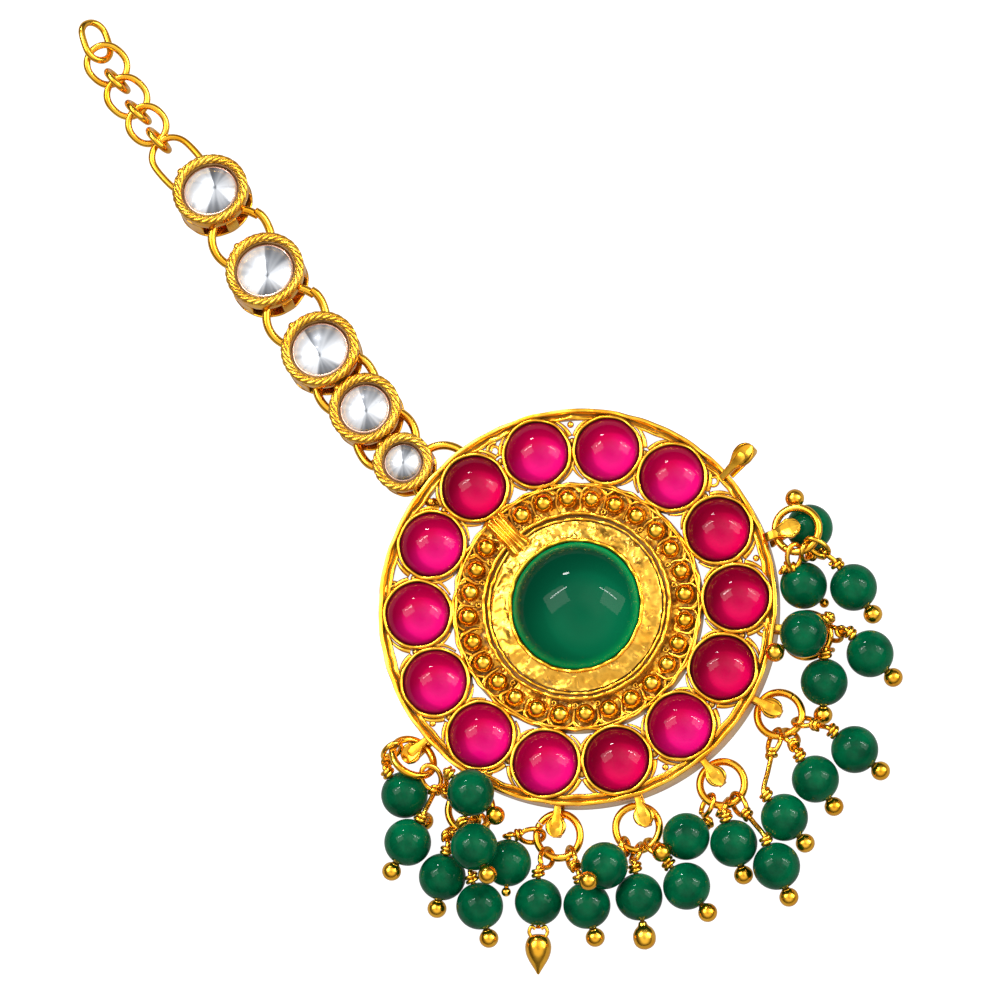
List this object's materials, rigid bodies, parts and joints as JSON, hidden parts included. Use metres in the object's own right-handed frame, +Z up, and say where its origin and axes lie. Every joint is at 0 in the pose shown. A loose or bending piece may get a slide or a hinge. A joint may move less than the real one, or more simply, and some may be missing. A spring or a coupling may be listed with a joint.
{
  "type": "maang tikka",
  "caption": "Forehead jewel: a round pierced medallion of set stones with bead drops round its lower edge, hung from a strand of round settings and a short chain.",
  "frame": {"origin": "centre of the medallion's flat back plate, on the surface it lies on", "axes": "+Z up out of the medallion's face, +Y up the strand to the free end of the chain, +X to the wearer's left side of the face, seen from the front it is to the right"},
  "size_m": [0.0596, 0.1227, 0.0088],
  "materials": {
    "gold_plate": "polished warm gold plating on cast and drawn brass, darker in the recesses",
    "ruby_glass": "deep pink glass cabochon, glossy",
    "green_glass": "deep green glass cabochon, glossy",
    "foiled_glass": "clear glass over silver foil, shallow facets, glossy",
    "green_bead": "opaque deep green glass bead, glossy"
  },
  "bodies": {
    "root": {"medallion_frame": "gold_plate", "center_stone": "green_glass", "red_stone_01": "ruby_glass", "red_stone_02": "ruby_glass", "red_stone_03": "ruby_glass", "red_stone_04": "ruby_glass", "red_stone_05": "ruby_glass", "red_stone_06": "ruby_glass", "red_stone_07": "ruby_glass", "red_stone_08": "ruby_glass", "red_stone_09": "ruby_glass", "red_stone_10": "ruby_glass", "red_stone_11": "ruby_glass", "red_stone_12": "ruby_glass", "red_stone_13": "ruby_glass", "red_stone_14": "ruby_glass", "kundan_setting_1": "gold_plate", "kundan_setting_2": "gold_plate", "kundan_setting_3": "gold_plate", "kundan_setting_4": "gold_plate", "kundan_setting_5": "gold_plate", "kundan_stone_1": "foiled_glass", "kundan_stone_2": "foiled_glass", "kundan_stone_3": "foiled_glass", "kundan_stone_4": "foiled_glass", "kundan_stone_5": "foiled_glass", "joining_ring_1": "gold_plate", "joining_ring_2": "gold_plate", "joining_ring_3": "gold_plate", "joining_ring_4": "gold_plate", "joining_ring_5": "gold_plate", "top_chain": "gold_plate", "bead_group_1": "green_bead", "bead_group_2": "green_bead", "bead_group_3": "green_bead", "bead_group_4": "green_bead", "bead_group_5": "green_bead", "bead_group_6": "green_bead", "bead_group_7": "green_bead", "bead_group_8": "green_bead", "drop_ring_1": "gold_plate", "drop_ring_2": "gold_plate", "drop_ring_3": "gold_plate", "drop_ring_4": "gold_plate", "drop_ring_5": "gold_plate", "drop_ring_6": "gold_plate", "drop_ring_7": "gold_plate", "drop_ring_8": "gold_plate", "head_pin_group_1": "gold_plate", "head_pin_group_2": "gold_plate", "head_pin_group_3": "gold_plate", "head_pin_group_4": "gold_plate", "head_pin_group_5": "gold_plate", "head_pin_group_6": "gold_plate", "head_pin_group_7": "gold_plate", "head_pin_group_8": "gold_plate"}
  },
  "joints": []
}
